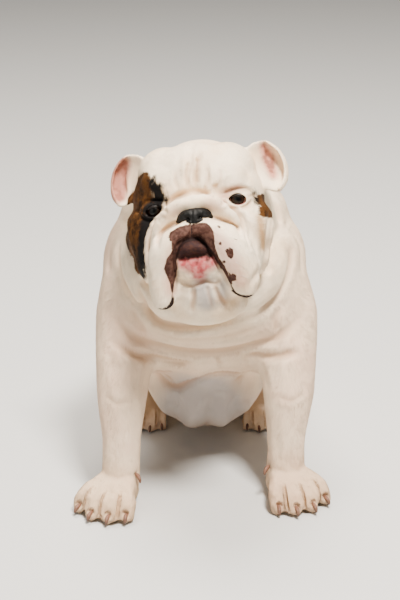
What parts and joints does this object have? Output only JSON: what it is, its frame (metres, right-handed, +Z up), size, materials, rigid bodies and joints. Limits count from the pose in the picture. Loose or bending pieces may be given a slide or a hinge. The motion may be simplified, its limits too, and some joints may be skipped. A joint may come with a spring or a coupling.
{
  "type": "sitting english bulldog",
  "caption": "Life-size sitting bulldog with a broad wrinkled head, folded ears, hanging lips, thick neck, barrel chest and short tail, resting on its paws and rump.",
  "frame": {"origin": "middle of the bounding box at floor level", "axes": "+Z up, -Y the way the dog faces, +X the dog's left"},
  "size_m": [0.339, 0.5394, 0.4776],
  "materials": {
    "coat": "short flat white fur over loose skin, with a brown brindle patch on the right of the face",
    "nose": "black, damp, finely pebbled",
    "eye": "dark brown iris under a wet clear front",
    "claw": "pale horn, a little pink at the root"
  },
  "bodies": {
    "root": {"ear_left": "coat", "ear_right": "coat", "eye_left": "eye", "eye_right": "eye", "foreleg_left": "coat", "foreleg_right": "coat", "forepaw_left": "coat", "forepaw_left_claw_1": "claw", "forepaw_left_claw_2": "claw", "forepaw_left_claw_3": "claw", "forepaw_left_claw_4": "claw", "forepaw_left_dewclaw": "claw", "forepaw_right": "coat", "forepaw_right_claw_1": "claw", "forepaw_right_claw_2": "claw", "forepaw_right_claw_3": "claw", "forepaw_right_claw_4": "claw", "forepaw_right_dewclaw": "claw", "head": "coat", "hindleg_left": "coat", "hindleg_right": "coat", "hindpaw_left": "coat", "hindpaw_left_claw_1": "claw", "hindpaw_left_claw_2": "claw", "hindpaw_left_claw_3": "claw", "hindpaw_left_claw_4": "claw", "hindpaw_right": "coat", "hindpaw_right_claw_1": "claw", "hindpaw_right_claw_2": "claw", "hindpaw_right_claw_3": "claw", "hindpaw_right_claw_4": "claw", "neck": "coat", "nose": "nose", "tail": "coat", "torso": "coat"}
  },
  "joints": []
}
